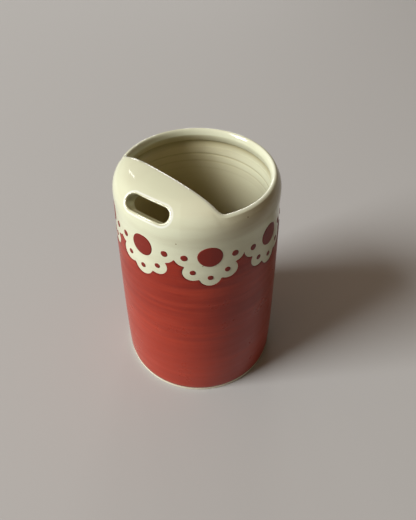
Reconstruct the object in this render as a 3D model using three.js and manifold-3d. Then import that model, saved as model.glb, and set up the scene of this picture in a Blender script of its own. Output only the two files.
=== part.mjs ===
// A to-go cup of wheel-thrown stoneware. The wall closes in over a soft shoulder, and the domed top is cut
// open with a straight edge on one side, which leaves a sip cover with a drinking slot in it.
// A coat of red slip lies on the lower wall, up to a scalloped lace edge, and red slip dots are its eyelets.
// Millimetres, +Z up. The origin is the middle of the foot on the table, and the slot faces -Y.
import * as THREE from "three";
import { mergeVertices } from "three/addons/utils/BufferGeometryUtils.js";
import Module from "manifold-3d";

const wasm = await Module();
wasm.setup();

// Foot and floor
const BASE_RADIUS = 41.9; // clay at the top of the foot's bevel
const FOOT_BEVEL_HEIGHT = 1.2;
const FOOT_BEVEL_WIDTH = 1;
const FOOT_RING_WIDTH = 6; // flat ring that stands on the table
const FOOT_RECESS = 1.6; // trimmed hollow under the floor
const FLOOR_THICKNESS = 5;
const FLOOR_CORNER_RADIUS = 9; // inside, between floor and wall

// Wall
const WALL_THICKNESS = 3.8;
const SHOULDER_HEIGHT = 107; // where the wall starts to close in
const SHOULDER_RADIUS = 37.8;
const LOWER_SWELL = -0.3; // how far the wall's curve is drawn out above the base, or in if negative
const UPPER_SWELL = 1.3; // and below the shoulder

// Domed top
const DOME_RISE = 17.9; // shoulder to the crown of the closed dome
const DOME_SQUARENESS = 3.8; // 2 is an ellipse, and more gives a fuller shoulder
const COVER_THICKNESS = 3.4; // clay at the crown
const LIP_OVERHANG = 1.5; // how far the mouth's lip stands in past the inside of the wall
const COVER_EDGE = 15.65; // from the axis to the straight edge of the sip cover
const COVER_TURN = THREE.MathUtils.degToRad(-8.6); // the edge was cut a little askew to the slot
const COVER_CORNER_BLEND = 2.5; // how softly the straight edge runs into the round mouth
const LIP_TOP_ROUNDING = 2.7; // how far the lip's rounding reaches back over the top
const LIP_UNDER_ROUNDING = 1; // and underneath
const LIP_TOP_SHARE = 0.78; // of the cut face, rounded from the top
const LIP_UNDER_SHARE = 0.2; // and from underneath

// Luted seam between wall and top: a tongue on the wall sits in a rebate of the top
const SEAM_ABOVE_SHOULDER = 1.5;
const SEAM_TONGUE_HEIGHT = 1.5;
const SEAM_GAP = 0.3; // filled with slip

// Sip slot
const SLOT_LENGTH = 21.6;
const SLOT_WIDTH = 6.6;
const SLOT_INSET = 3.6; // slot's middle, in from the shoulder's radius
const SLOT_OUTSIDE_ROUNDING = 1.4; // sponged edges
const SLOT_INSIDE_ROUNDING = 0.7;

// Red slip
const SLIP_THICKNESS = 0.5;
const SLIP_GAP = 0.15; // between slip and clay
const BIG_EYELET_BELOW_SHOULDER = 5.9; // halfway round from the lace's highest place to its lowest
const LACE_TILT = 1.8; // the lace was laid a little askew, so it climbs by this to the slot's side
const LACE_TURN = THREE.MathUtils.degToRad(-1); // and starts a little beside the slot
const BIG_EYELET_RADIUS = 5.3;
const LINK_EYELET_RADIUS = 1.55;
const PETAL_EYELET_RADIUS = 1.3;
const SCALLOP_RADIUS = 4.65; // bare clay round each small eyelet
const LACE_REPEATS = 8;
const REPEAT_TURN = (2 * Math.PI) / LACE_REPEATS;
const LINK_TURN = 0.362 * REPEAT_TURN;
const PETAL_TURN = 0.247 * REPEAT_TURN;
const LINK_DROP = 0.5; // below the big eyelet, as the next two are
const SIDE_PETAL_DROP = 8.3;
const LOW_PETAL_DROP = 11.6;

// Facets
const TURN_STEPS = 64;
const WALL_STEPS = 5;
const CORNER_STEPS = 4;
const OUTER_DOME_STEPS = 7;
const INNER_DOME_STEPS = 4;
const LIP_STEPS = 3;
const SLOT_FLARE_TURNS = [90, 60, 30].map(THREE.MathUtils.degToRad);
const SLOT_END_STEPS = 8;
const SLOT_SIDE_STEPS = 4;
const BIG_EYELET_SIDES = 20;
const SMALL_EYELET_SIDES = 10;
const SCALLOP_SIDES = 16;

// Finishes
const CREAM_GLAZE = { color: 0xd8d5b3, roughness: 0.2, metalness: 0 };
const RED_SLIP = { color: 0x99443a, roughness: 0.25, metalness: 0 };

const OUTER = { radius: SHOULDER_RADIUS, rise: DOME_RISE };
const INNER = { radius: SHOULDER_RADIUS - WALL_THICKNESS, rise: DOME_RISE - COVER_THICKNESS };
const SEAM_HEIGHT = SHOULDER_HEIGHT + SEAM_ABOVE_SHOULDER;
const MOUTH_RADIUS = INNER.radius - LIP_OVERHANG;
const BIG_EYELET_HEIGHT = SHOULDER_HEIGHT - BIG_EYELET_BELOW_SHOULDER;
const CUTTER_REACH = 2 * BASE_RADIUS; // past the wall from the axis
const FOUND_WITHIN = 1e-4; // how closely a crossing is found

const EYELETS = [
  { name: "big", turn: 0, drop: 0, radius: BIG_EYELET_RADIUS, sides: BIG_EYELET_SIDES },
  ...[
    { name: "link_left", turn: -LINK_TURN, drop: LINK_DROP, radius: LINK_EYELET_RADIUS },
    { name: "petal_left", turn: -PETAL_TURN, drop: SIDE_PETAL_DROP, radius: PETAL_EYELET_RADIUS },
    { name: "petal_low", turn: 0, drop: LOW_PETAL_DROP, radius: PETAL_EYELET_RADIUS },
    { name: "petal_right", turn: PETAL_TURN, drop: SIDE_PETAL_DROP, radius: PETAL_EYELET_RADIUS },
    { name: "link_right", turn: LINK_TURN, drop: LINK_DROP, radius: LINK_EYELET_RADIUS },
  ].map((eyelet) => ({ ...eyelet, sides: SMALL_EYELET_SIDES })),
];
const SCALLOPED_EYELETS = EYELETS.slice(1);

// Solids for cutting and joining

function solidFrom(geometry) {
  geometry.deleteAttribute("normal");
  geometry.deleteAttribute("uv");
  const merged = mergeVertices(geometry);
  return new wasm.Manifold(
    new wasm.Mesh({
      numProp: 3,
      vertProperties: merged.attributes.position.array,
      triVerts: new Uint32Array(merged.index.array),
    }),
  );
}

function geometryFrom(solid) {
  const mesh = solid.getMesh();
  const geometry = new THREE.BufferGeometry();
  geometry.setAttribute("position", new THREE.BufferAttribute(mesh.vertProperties, 3));
  geometry.setIndex(new THREE.BufferAttribute(mesh.triVerts, 1));
  geometry.computeVertexNormals();
  return geometry;
}

// Forms

// A profile of radius and height turned about Z, from the front.
function revolve(profile) {
  return new THREE.LatheGeometry(profile, TURN_STEPS).rotateX(Math.PI / 2);
}

// A point by its radius, its azimuth from the front towards +X, and its height.
function around(radius, azimuth, height) {
  return new THREE.Vector3(radius * Math.sin(azimuth), -radius * Math.cos(azimuth), height);
}

// A closed surface through rings of equally many points. The row of rings closes on itself unless it is capped.
function skin(rings, capped) {
  const size = rings[0].length;
  const index = [];
  const bands = capped ? rings.length - 1 : rings.length;
  for (let band = 0; band < bands; band += 1) {
    const here = band * size;
    const next = ((band + 1) % rings.length) * size;
    for (let step = 0; step < size; step += 1) {
      const beside = (step + 1) % size;
      index.push(here + step, next + beside, here + beside);
      index.push(here + step, next + step, next + beside);
    }
  }
  if (capped) {
    const last = bands * size;
    for (let step = 1; step < size - 1; step += 1) {
      index.push(0, step, step + 1);
      index.push(last, last + step + 1, last + step);
    }
  }
  const geometry = new THREE.BufferGeometry().setFromPoints(rings.flat());
  geometry.setIndex(index);
  return geometry;
}

// Wall and dome curves

const WALL_CURVE = new THREE.CubicBezierCurve(
  new THREE.Vector2(BASE_RADIUS, 0),
  new THREE.Vector2(BASE_RADIUS + LOWER_SWELL, 1 / 3),
  new THREE.Vector2(SHOULDER_RADIUS + UPPER_SWELL, 2 / 3),
  new THREE.Vector2(SHOULDER_RADIUS, 1),
);

// A point of a dome, by a turn that is 0 at the shoulder and a right angle at the crown.
function domePoint(dome, turn) {
  const power = 2 / DOME_SQUARENESS;
  const height = SHOULDER_HEIGHT + dome.rise * Math.sin(turn) ** power;
  return new THREE.Vector2(dome.radius * Math.cos(turn) ** power, height);
}

function turnAtHeight(dome, height) {
  return Math.asin(((height - SHOULDER_HEIGHT) / dome.rise) ** (DOME_SQUARENESS / 2));
}

function turnAtRadius(dome, radius) {
  return Math.acos((radius / dome.radius) ** (DOME_SQUARENESS / 2));
}

function domeArc(dome, from, to, steps) {
  return Array.from({ length: steps + 1 }, (_, step) => domePoint(dome, from + ((to - from) * step) / steps));
}

function wallRadius(height) {
  if (height > SHOULDER_HEIGHT) return domePoint(OUTER, turnAtHeight(OUTER, height)).x;
  return WALL_CURVE.getPoint((height - FOOT_BEVEL_HEIGHT) / (SHOULDER_HEIGHT - FOOT_BEVEL_HEIGHT)).x;
}

// Points up the wall's outside, moved out by an offset.
function wallLine(offset, bottom, top) {
  return Array.from({ length: WALL_STEPS + 1 }, (_, step) => {
    const height = bottom + ((top - bottom) * step) / WALL_STEPS;
    return new THREE.Vector2(wallRadius(height) + offset, height);
  });
}

const OUTSIDE_WALL = wallLine(0, FOOT_BEVEL_HEIGHT, SHOULDER_HEIGHT);

// The outside wall's radius on its facets.
function facetRadius(height) {
  const above = OUTSIDE_WALL.findIndex((point) => point.y >= height);
  if (above < 1) return wallRadius(height);
  const [low, high] = OUTSIDE_WALL.slice(above - 1, above + 1);
  return THREE.MathUtils.mapLinear(height, low.y, high.y, low.x, high.x);
}

// Thrown body: foot ring, floor and wall, up to the tongue of the luted seam

const SEAM_OUTER_RADIUS = domePoint(OUTER, turnAtHeight(OUTER, SEAM_HEIGHT)).x;
const SEAM_INNER_RADIUS = domePoint(INNER, turnAtHeight(INNER, SEAM_HEIGHT)).x;
const TONGUE_RADIUS = (SEAM_OUTER_RADIUS + SEAM_INNER_RADIUS) / 2;
const TONGUE_HEIGHT = SEAM_HEIGHT + SEAM_TONGUE_HEIGHT;

function bodyProfile() {
  const footRadius = BASE_RADIUS - FOOT_BEVEL_WIDTH;
  const recessRadius = footRadius - FOOT_RING_WIDTH;
  const floorTop = FOOT_RECESS + FLOOR_THICKNESS;
  const cornerTop = floorTop + FLOOR_CORNER_RADIUS;
  const cornerMiddle = wallRadius(cornerTop) - WALL_THICKNESS - FLOOR_CORNER_RADIUS;
  const corner = new THREE.EllipseCurve(
    cornerMiddle,
    cornerTop,
    FLOOR_CORNER_RADIUS,
    FLOOR_CORNER_RADIUS,
    0,
    -Math.PI / 2,
    true,
  );
  const insideWall = wallLine(-WALL_THICKNESS, cornerTop, SHOULDER_HEIGHT).reverse();
  return [
    new THREE.Vector2(0, FOOT_RECESS),
    new THREE.Vector2(recessRadius - FOOT_RECESS, FOOT_RECESS),
    new THREE.Vector2(recessRadius, 0),
    new THREE.Vector2(footRadius, 0),
    ...OUTSIDE_WALL,
    new THREE.Vector2(SEAM_OUTER_RADIUS, SEAM_HEIGHT),
    new THREE.Vector2(TONGUE_RADIUS, SEAM_HEIGHT),
    new THREE.Vector2(TONGUE_RADIUS, TONGUE_HEIGHT),
    domePoint(INNER, turnAtHeight(INNER, TONGUE_HEIGHT)),
    ...insideWall,
    ...corner.getPoints(CORNER_STEPS).slice(1),
    new THREE.Vector2(0, floorTop),
  ];
}

// Domed top: the lip round the mouth and the sip cover, lofted from one section for each azimuth

function softMinimum(first, second, blend) {
  const share = Math.max(blend - Math.abs(first - second), 0) / blend;
  return Math.min(first, second) - (share * share * blend) / 4;
}

// How far the cut face stands from the axis: the round mouth, or the cover's straight edge.
function mouthEdge(azimuth) {
  const facing = Math.cos(azimuth - COVER_TURN);
  if (facing * MOUTH_RADIUS < COVER_EDGE - COVER_CORNER_BLEND) return MOUTH_RADIUS;
  return softMinimum(MOUTH_RADIUS, COVER_EDGE / facing, COVER_CORNER_BLEND);
}

// A rounded corner from one point to another, drawn towards the sharp corner between them.
function rounding(from, sharp, to) {
  return new THREE.QuadraticBezierCurve(from, sharp, to).getPoints(LIP_STEPS);
}

function topSection(azimuth) {
  const cut = mouthEdge(azimuth);
  const topTurn = turnAtRadius(OUTER, cut + LIP_TOP_ROUNDING);
  const underTurn = turnAtRadius(INNER, cut + LIP_UNDER_ROUNDING);
  const topCorner = domePoint(OUTER, turnAtRadius(OUTER, cut));
  const underCorner = domePoint(INNER, turnAtRadius(INNER, cut));
  const rebateTop = TONGUE_HEIGHT + SEAM_GAP;
  const rebateBottom = SEAM_HEIGHT + SEAM_GAP;
  const rebateRadius = TONGUE_RADIUS + SEAM_GAP;
  const outside = domeArc(OUTER, turnAtHeight(OUTER, rebateBottom), topTurn, OUTER_DOME_STEPS);
  const inside = domeArc(INNER, underTurn, turnAtHeight(INNER, rebateTop), INNER_DOME_STEPS);
  const faceHeight = topCorner.y - underCorner.y;
  const faceTop = new THREE.Vector2(cut, topCorner.y - LIP_TOP_SHARE * faceHeight);
  const faceBottom = new THREE.Vector2(cut, underCorner.y + LIP_UNDER_SHARE * faceHeight);
  const section = [
    ...outside,
    ...rounding(outside.at(-1), topCorner, faceTop).slice(1),
    ...rounding(faceBottom, underCorner, inside[0]).slice(0, -1),
    ...inside,
    new THREE.Vector2(rebateRadius, rebateTop),
    new THREE.Vector2(rebateRadius, rebateBottom),
  ];
  return section.map((point) => around(point.x, azimuth, point.y));
}

function closedTop() {
  const sections = Array.from({ length: TURN_STEPS }, (_, step) => topSection((2 * Math.PI * step) / TURN_STEPS));
  return solidFrom(skin(sections, false));
}

// Sip slot: a straight stadium cut square to the shoulder, with both edges sponged round

const SLOT_RADIUS = SHOULDER_RADIUS - SLOT_INSET;
const SLOT_MIDDLE = domePoint(OUTER, turnAtRadius(OUTER, SLOT_RADIUS));
const SLOT_AXIS = new THREE.Vector2(
  (SLOT_MIDDLE.x / OUTER.radius) ** (DOME_SQUARENESS - 1) / OUTER.radius,
  ((SLOT_MIDDLE.y - SHOULDER_HEIGHT) / OUTER.rise) ** (DOME_SQUARENESS - 1) / OUTER.rise,
).normalize();
const SLOT_DOWN = new THREE.Vector2(SLOT_AXIS.y, -SLOT_AXIS.x);

function slotPoint(down, out) {
  return SLOT_MIDDLE.clone().addScaledVector(SLOT_DOWN, down).addScaledVector(SLOT_AXIS, out);
}

// Where the slot's axis, moved along the slot and down the shoulder, goes through a dome: found by halving a span
// that holds it.
function outToDome(dome, along, down) {
  let inside = -DOME_RISE / 2;
  let outside = DOME_RISE / 2;
  while (outside - inside > FOUND_WITHIN) {
    const middle = (inside + outside) / 2;
    const point = slotPoint(down, middle);
    const across = (Math.hypot(along, point.x) / dome.radius) ** DOME_SQUARENESS;
    const up = ((point.y - SHOULDER_HEIGHT) / dome.rise) ** DOME_SQUARENESS;
    if (across + up < 1) inside = middle;
    else outside = middle;
  }
  return inside;
}

// The slot's outline, grown all round and moved out from a dome's face.
function slotRing(dome, out, grow) {
  const endRadius = SLOT_WIDTH / 2 + grow;
  const endMiddle = (SLOT_LENGTH - SLOT_WIDTH) / 2;
  const ring = [];
  const add = (along, down) => {
    const point = slotPoint(down, outToDome(dome, along, down) + out);
    ring.push(new THREE.Vector3(along, -point.x, point.y));
  };
  for (const side of [1, -1]) {
    for (let step = 0; step <= SLOT_END_STEPS; step += 1) {
      const turn = Math.PI * (step / SLOT_END_STEPS - 0.5);
      add(side * (endMiddle + endRadius * Math.cos(turn)), side * endRadius * Math.sin(turn));
    }
    for (let step = 1; step < SLOT_SIDE_STEPS; step += 1) {
      add(side * endMiddle * (1 - (2 * step) / SLOT_SIDE_STEPS), side * endRadius);
    }
  }
  return ring;
}

// The rounded edge as flares: how deep each lies behind the clay's face, and how much it grows the outline.
// The last two run on past the face and well clear of it.
function slotFlares(radius) {
  const flares = SLOT_FLARE_TURNS.map((turn) => ({
    depth: radius * (1 - Math.cos(turn)),
    grow: radius * (1 - Math.sin(turn)),
  }));
  const { depth, grow } = flares.at(-1);
  const past = radius / 2;
  const mouth = grow + (depth + past) / Math.tan(SLOT_FLARE_TURNS.at(-1));
  return [...flares, { depth: -past, grow: mouth }, { depth: -SLOT_WIDTH, grow: mouth }];
}

function slotCutter() {
  const outside = slotFlares(SLOT_OUTSIDE_ROUNDING).map((flare) => slotRing(OUTER, -flare.depth, flare.grow));
  const inside = slotFlares(SLOT_INSIDE_ROUNDING).map((flare) => slotRing(INNER, flare.depth, flare.grow));
  return solidFrom(skin([...inside.reverse(), ...outside], true));
}

// Red slip: a thin sleeve on the wall, cut to the lace's edge, and a dot for each eyelet

// A sleeve that bends where the wall's facets do.
function slipSleeve(bottom, top) {
  const bends = OUTSIDE_WALL.map((point) => point.y).filter((height) => height > bottom && height < top);
  const line = (offset) =>
    [bottom, ...bends, top].map((height) => new THREE.Vector2(facetRadius(height) + offset, height));
  const outside = line(SLIP_GAP + SLIP_THICKNESS);
  return solidFrom(revolve([...outside, ...line(SLIP_GAP).reverse(), outside[0]]));
}

// A round plug from the axis out through the wall.
function plug(radius, azimuth, height, sides) {
  const cylinder = new THREE.CylinderGeometry(radius, radius, CUTTER_REACH, sides);
  return solidFrom(cylinder.translate(0, -CUTTER_REACH / 2, height).rotateZ(azimuth));
}

// The height of an eyelet in the lace's repeat at an azimuth.
function eyeletHeight(eyelet, azimuth) {
  return BIG_EYELET_HEIGHT + LACE_TILT * Math.cos(azimuth) - eyelet.drop;
}

// The lace's ground in one repeat: a panel from eyelet to eyelet, out through the wall.
function groundPanel(azimuth) {
  const corners = SCALLOPED_EYELETS.map((eyelet) => {
    const height = eyeletHeight(eyelet, azimuth);
    return new THREE.Vector2(wallRadius(height) * Math.sin(eyelet.turn), height);
  });
  const raised = [corners.at(-1), corners[0]].map((corner) => corner.clone().setY(corner.y + SCALLOP_RADIUS));
  const panel = new THREE.ExtrudeGeometry(new THREE.Shape([...corners, ...raised]), {
    depth: CUTTER_REACH,
    bevelEnabled: false,
  });
  return solidFrom(panel.rotateX(Math.PI / 2).rotateZ(azimuth));
}

function repeatAzimuths() {
  return Array.from({ length: LACE_REPEATS }, (_, repeat) => LACE_TURN + repeat * REPEAT_TURN);
}

// All that is above the link eyelets, on the lace's tilt.
function aboveLace() {
  const block = new THREE.BoxGeometry(2 * CUTTER_REACH, 2 * CUTTER_REACH, CUTTER_REACH);
  block.translate(0, 0, CUTTER_REACH / 2).rotateX(-Math.atan(LACE_TILT / SHOULDER_RADIUS));
  return solidFrom(block.translate(0, 0, BIG_EYELET_HEIGHT - LINK_DROP));
}

function slipCoat() {
  let coat = slipSleeve(FOOT_BEVEL_HEIGHT, BIG_EYELET_HEIGHT + LACE_TILT).subtract(aboveLace());
  for (const azimuth of repeatAzimuths()) {
    coat = coat.subtract(groundPanel(azimuth));
    for (const eyelet of SCALLOPED_EYELETS) {
      const height = eyeletHeight(eyelet, azimuth);
      coat = coat.subtract(plug(SCALLOP_RADIUS, azimuth + eyelet.turn, height, SCALLOP_SIDES));
    }
  }
  return coat;
}

// One dot for each repeat of the lace, cut out of a band of slip at the eyelet's height.
function eyeletDots(eyelet) {
  const reach = eyelet.radius + SLIP_THICKNESS;
  return repeatAzimuths().map((azimuth) => {
    const height = eyeletHeight(eyelet, azimuth);
    const band = slipSleeve(height - reach, height + reach);
    return band.intersect(plug(eyelet.radius, azimuth + eyelet.turn, height, eyelet.sides));
  });
}

// Assembly

const cup = new THREE.Group();

function place(name, geometry, finish) {
  const mesh = new THREE.Mesh(geometry, new THREE.MeshStandardMaterial(finish));
  mesh.name = name;
  cup.add(mesh);
}

place("thrown_body", revolve(bodyProfile()), CREAM_GLAZE);
place("sip_cover", geometryFrom(closedTop().subtract(slotCutter())), CREAM_GLAZE);
place("red_slip_coat", geometryFrom(slipCoat()), RED_SLIP);

for (const eyelet of EYELETS) {
  eyeletDots(eyelet).forEach((dot, repeat) => {
    place(`eyelet_${repeat + 1}_${eyelet.name}`, geometryFrom(dot), RED_SLIP);
  });
}

export default cup;
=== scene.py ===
import math
import random

import bmesh
import bpy
import numpy as np
from mathutils import Matrix, Vector
from mathutils.geometry import delaunay_2d_cdt


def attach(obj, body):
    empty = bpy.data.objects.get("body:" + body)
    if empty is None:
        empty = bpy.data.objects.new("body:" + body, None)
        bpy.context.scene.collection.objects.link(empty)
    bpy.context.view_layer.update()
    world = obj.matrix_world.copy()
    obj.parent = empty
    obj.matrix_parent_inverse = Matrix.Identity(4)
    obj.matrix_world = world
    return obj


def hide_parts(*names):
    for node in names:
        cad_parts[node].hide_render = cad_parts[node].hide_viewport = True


# The looks of a to-go cup of wheel-thrown stoneware: glazed clay body and domed top, a coat of red slip
# with a scalloped lace edge, and red slip dots. Sizes are in millimetres, in the frame's axes: +Z up,
# the slot at -Y. Azimuths are in radians, from the slot towards +X.
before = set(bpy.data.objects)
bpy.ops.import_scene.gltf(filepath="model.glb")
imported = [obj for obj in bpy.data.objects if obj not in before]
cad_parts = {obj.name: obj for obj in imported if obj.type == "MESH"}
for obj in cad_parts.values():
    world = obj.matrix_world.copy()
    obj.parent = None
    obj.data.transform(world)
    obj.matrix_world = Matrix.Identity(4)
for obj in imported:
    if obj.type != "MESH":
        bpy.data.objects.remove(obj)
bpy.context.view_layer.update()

MM = 0.001
BODY = "root"

# Foot, floor and wall, as the solids have them
BASE_RADIUS = 41.9
FOOT_BEVEL_HEIGHT = 1.2
FOOT_BEVEL_WIDTH = 1.0
FOOT_RING_WIDTH = 6.0
FOOT_RECESS = 1.6
FLOOR_THICKNESS = 5.0
FLOOR_CORNER_RADIUS = 9.0
WALL_THICKNESS = 3.8
SHOULDER_HEIGHT = 107.0
SHOULDER_RADIUS = 37.8
LOWER_SWELL = -0.3
UPPER_SWELL = 1.3
INNER_SHOULDER_RADIUS = SHOULDER_RADIUS - WALL_THICKNESS

# Domed top with lip, cover edge, seam and slot, as the solids have them
DOME_RISE = 17.9
DOME_SQUARENESS = 3.8
COVER_THICKNESS = 3.4
LIP_OVERHANG = 1.5
COVER_EDGE = 15.65
COVER_TURN = math.radians(-8.6)
COVER_CORNER_BLEND = 2.5
LIP_TOP_ROUNDING = 2.7
LIP_UNDER_ROUNDING = 1.0
LIP_TOP_SHARE = 0.78
LIP_UNDER_SHARE = 0.2
MOUTH_RADIUS = INNER_SHOULDER_RADIUS - LIP_OVERHANG
SEAM_ABOVE_SHOULDER = 1.5
SEAM_TONGUE_HEIGHT = 1.5
SEAM_HEIGHT = SHOULDER_HEIGHT + SEAM_ABOVE_SHOULDER
TONGUE_HEIGHT = SEAM_HEIGHT + SEAM_TONGUE_HEIGHT
SLOT_LENGTH = 21.6
SLOT_WIDTH = 6.6
SLOT_INSET = 3.6
SLOT_RADIUS = SHOULDER_RADIUS - SLOT_INSET
SLOT_INSIDE_ROUNDING = 0.7

# Lace of red slip, as the solids have it
LACE_REPEATS = 8
REPEAT_TURN = 2 * math.pi / LACE_REPEATS
BIG_EYELET_BELOW_SHOULDER = 5.9
BIG_EYELET_HEIGHT = SHOULDER_HEIGHT - BIG_EYELET_BELOW_SHOULDER
LACE_TILT = 1.8  # the lace climbs by this to the slot's side
LACE_TURN = math.radians(-1)  # and starts a little beside it
SCALLOP_RADIUS = 4.65
BIG_EYELET_RADIUS = 5.3
LINK_EYELET_RADIUS = 1.55
PETAL_EYELET_RADIUS = 1.3
LINK_TURN = 0.362 * REPEAT_TURN
PETAL_TURN = 0.247 * REPEAT_TURN
LINK_DROP = 0.5  # below the big eyelet, as the next two are
SIDE_PETAL_DROP = 8.3
LOW_PETAL_DROP = 11.6
EYELETS = {
    "big": {"turn": 0, "drop": 0, "radius": BIG_EYELET_RADIUS},
    "link_left": {"turn": -LINK_TURN, "drop": LINK_DROP, "radius": LINK_EYELET_RADIUS},
    "petal_left": {"turn": -PETAL_TURN, "drop": SIDE_PETAL_DROP, "radius": PETAL_EYELET_RADIUS},
    "petal_low": {"turn": 0, "drop": LOW_PETAL_DROP, "radius": PETAL_EYELET_RADIUS},
    "petal_right": {"turn": PETAL_TURN, "drop": SIDE_PETAL_DROP, "radius": PETAL_EYELET_RADIUS},
    "link_right": {"turn": LINK_TURN, "drop": LINK_DROP, "radius": LINK_EYELET_RADIUS},
}
SCALLOPED = [eyelet for name, eyelet in EYELETS.items() if name != "big"]

# Traces of hand and wheel on the body, which the solids leave out
RING_PITCH = 4.3  # the spiral of throwing rings on the inside
RING_DEPTH = 0.18
RING_SHARPNESS = 12  # more makes finer grooves
RING_FADE = 10.0  # how far down they are still plain to see
RIPPLE_PITCH = 6.1  # and the much fainter one outside
RIPPLE_DEPTH = 0.02
GROUND_SWELL = 0.45  # how far the clay stands out under the slip
GROUND_FADE = 18.0  # below the shoulder, over which that fades out
FOOT_EDGE_WIDTH = 0.25  # the foot's outside edge is sharper than the solid's bevel
FOOT_EDGE_HEIGHT = 0.3

# Traces of the hand on the domed top
LIP_BAND_SIDE = math.radians(205)  # the lip is a nose in front and a sloping band on this side
LIP_BAND_TOP = (1.1, 1.2)  # in and up from the band's outside edge
LIP_BAND_SLOPE = (0.6, 2.0)  # out and up from its inside edge
LIP_GROOVE_DEPTH = 0.35  # a line pressed in below the lip
LIP_GROOVE_REACH = 1.0
LIP_COLLAR_DEPTH = 0.12  # and a shallow one round its outside
LIP_COLLAR_REACH = 1.5
SLOT_SLIDE = -0.5  # the slot sits a little to the side
SLOT_TRIM = 0.4  # and is a little shorter
SLOT_LEAN = 0.23  # its sides run in flatter than square, as a share of the depth
SLOT_ROUNDING = 1.45  # its outside edge where it is roundest, sponged by hand
SLOT_LEAST_ROUNDING = 0.6
SLOT_ROUND_MIDDLE = 0.6  # share of the way from the least to the most, on average
SLOT_ROUND_RIGHT = 0.2  # what the right end adds to that
SLOT_ROUND_TOP = -0.4  # and what the upper side adds
SLOT_WORN_DEPTH = 1.4  # how much deeper the rounding goes at the left end
SLOT_BURR = 2.0  # clay that the cut pushed in, round the slot's inside
SLOT_BURR_WIDTH = 2.4

# Traces of the hand on the slip
LACE_SHIFTS = np.radians((-0.7, -0.3, 1.1, 0.6, -0.4, 0.3, -0.5, 0.2))  # each repeat was laid by hand
SLIP_LIFT = 0.18  # the slip's face above the clay
SLIP_SINK = 0.08  # and its back, fused into the clay
SLIP_EDGE = 0.45  # width of its rounded edge
SLIP_BOTTOM = 2.2  # a line of clay stays clear of it below
SCALLOP_WOBBLE = 0.14
SCALLOP_SEED = 4
DOT_WOBBLE = 0.05
DOT_WOBBLE_WAVES = (2, 3, 4)  # round a dot's outline
DOT_SEED = 11

# Where the glaze differs, and where light and shade are painted into it
GLAZE_TRAITS = ("bare", "pool_and_shade", "deep", "side_shade", "warm", "thin")
DEEP_SHADE_START = 116.0  # painted shade: darker and browner from here down inside
DEEP_SHADE_END = 74.0
SHADE_SIDE = math.radians(95)  # painted shade in brownish streaks on this side of the shoulder, away from the light
SHADE_SPAN = 0.8
SHADE_FULL = SEAM_HEIGHT + 4.0  # in full from this height up
WARM_SHADE_SIDE = math.radians(-110)  # painted warm shade on this side of the inside, which faces away from the light
WARM_SHADE_SPAN = 0.9
WARM_SHADE_START = SEAM_HEIGHT + 14.0  # from this height down
WARM_SHADE_FULL = SEAM_HEIGHT + 4.0
LIP_PALE = 0.5  # how pale the lip's nose is drawn: glaze run thin there, with a painted highlight
COVER_PALE = 0.9  # and the cover's edge, the same with a stronger painted highlight
PALE_SHARPNESS = 3  # more makes those lines narrower
SLOT_PALE_LINE = 0.4  # width of the pale line outside the slot's rounding, thin glaze with a painted highlight
SLOT_PALE_FADE = 0.5  # and of the fade beyond it
SLOT_PALE = (0, 0.65, 0.5)  # how pale it is: past the fade, at the line's outside and at its inside
SLOT_DARKENING = 0.35  # how much darker the slot's rounding is drawn

# Mesh steps
COLUMNS = 288
WALL_ROWS = 72
RING_ROWS = 64
TONGUE_ROWS = 4
SHOULDER_ROWS = 3
CORNER_ROWS = 11
FLOOR_ROWS = 5
DOME_ROWS = 44
CREST_ROWS = 14
LIP_ROWS = 8
FACE_ROWS = 4
SLOT_COLUMNS = 22  # to each side of the slot's middle
SLOT_ROWS = 28
SLOT_RINGS = 4
DOME_SAMPLES = 4000
HALVINGS = 40  # to find where the slot's sides go through the clay
LACE_STEP = 0.4
LACE_GRID = 1.1
LACE_ROW_SHARE = 0.87  # of that, between staggered rows
LACE_SOFTENING = 6  # passes that round the lace's cusps
LACE_RIM = 1e-4  # places nearer than this to the coat's edge are on it
LACE_MERGE = 1e-6  # and places nearer than this to each other are one
LACE_BOTTOM = 80.0  # below this the coat is a plain grid
RIM_SHARES = (0.25, 1.0)  # of the slip's rounded edge, with a line of places along each
RIM_CLEAR = 0.9  # of that depth, which a place keeps from the rest of the edge
COAT_ROWS = 54
DOT_SIDES = 40
DOT_RINGS = (0, 0.12, 0.45, 1, 2)  # depths in from a dot's outline, in slip edges
DOT_RING_LIMIT = 0.8  # of a dot's radius
WELD = 1e-7  # points nearer than this are one, in metres
SHARP_TURN = math.radians(50)  # edges that turn more are shaded sharp


# Curves

def pairs(first, second):
    """Points in a plane, by one or many values each way: radius and height, or along and up."""
    return np.stack(np.broadcast_arrays(first, second), -1)


def shares_of(steps):
    """Even shares after 0, up to 1."""
    return np.arange(1, steps + 1) / steps


def around(radius, azimuth, height):
    """Points by radius, azimuth and height."""
    radius, azimuth, height = np.broadcast_arrays(radius, azimuth, height)
    return np.stack([radius * np.sin(azimuth), -radius * np.cos(azimuth), height], -1)


def wall_radius(height):
    """The clay wall's outside up to the shoulder."""
    above_bevel = np.asarray(height, float) - FOOT_BEVEL_HEIGHT
    share = np.clip(above_bevel / (SHOULDER_HEIGHT - FOOT_BEVEL_HEIGHT), 0, 1)
    rest = 1 - share
    low = 3 * (BASE_RADIUS + LOWER_SWELL) * rest**2 * share
    high = 3 * (SHOULDER_RADIUS + UPPER_SWELL) * rest * share**2
    return BASE_RADIUS * rest**3 + low + high + SHOULDER_RADIUS * share**3


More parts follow.
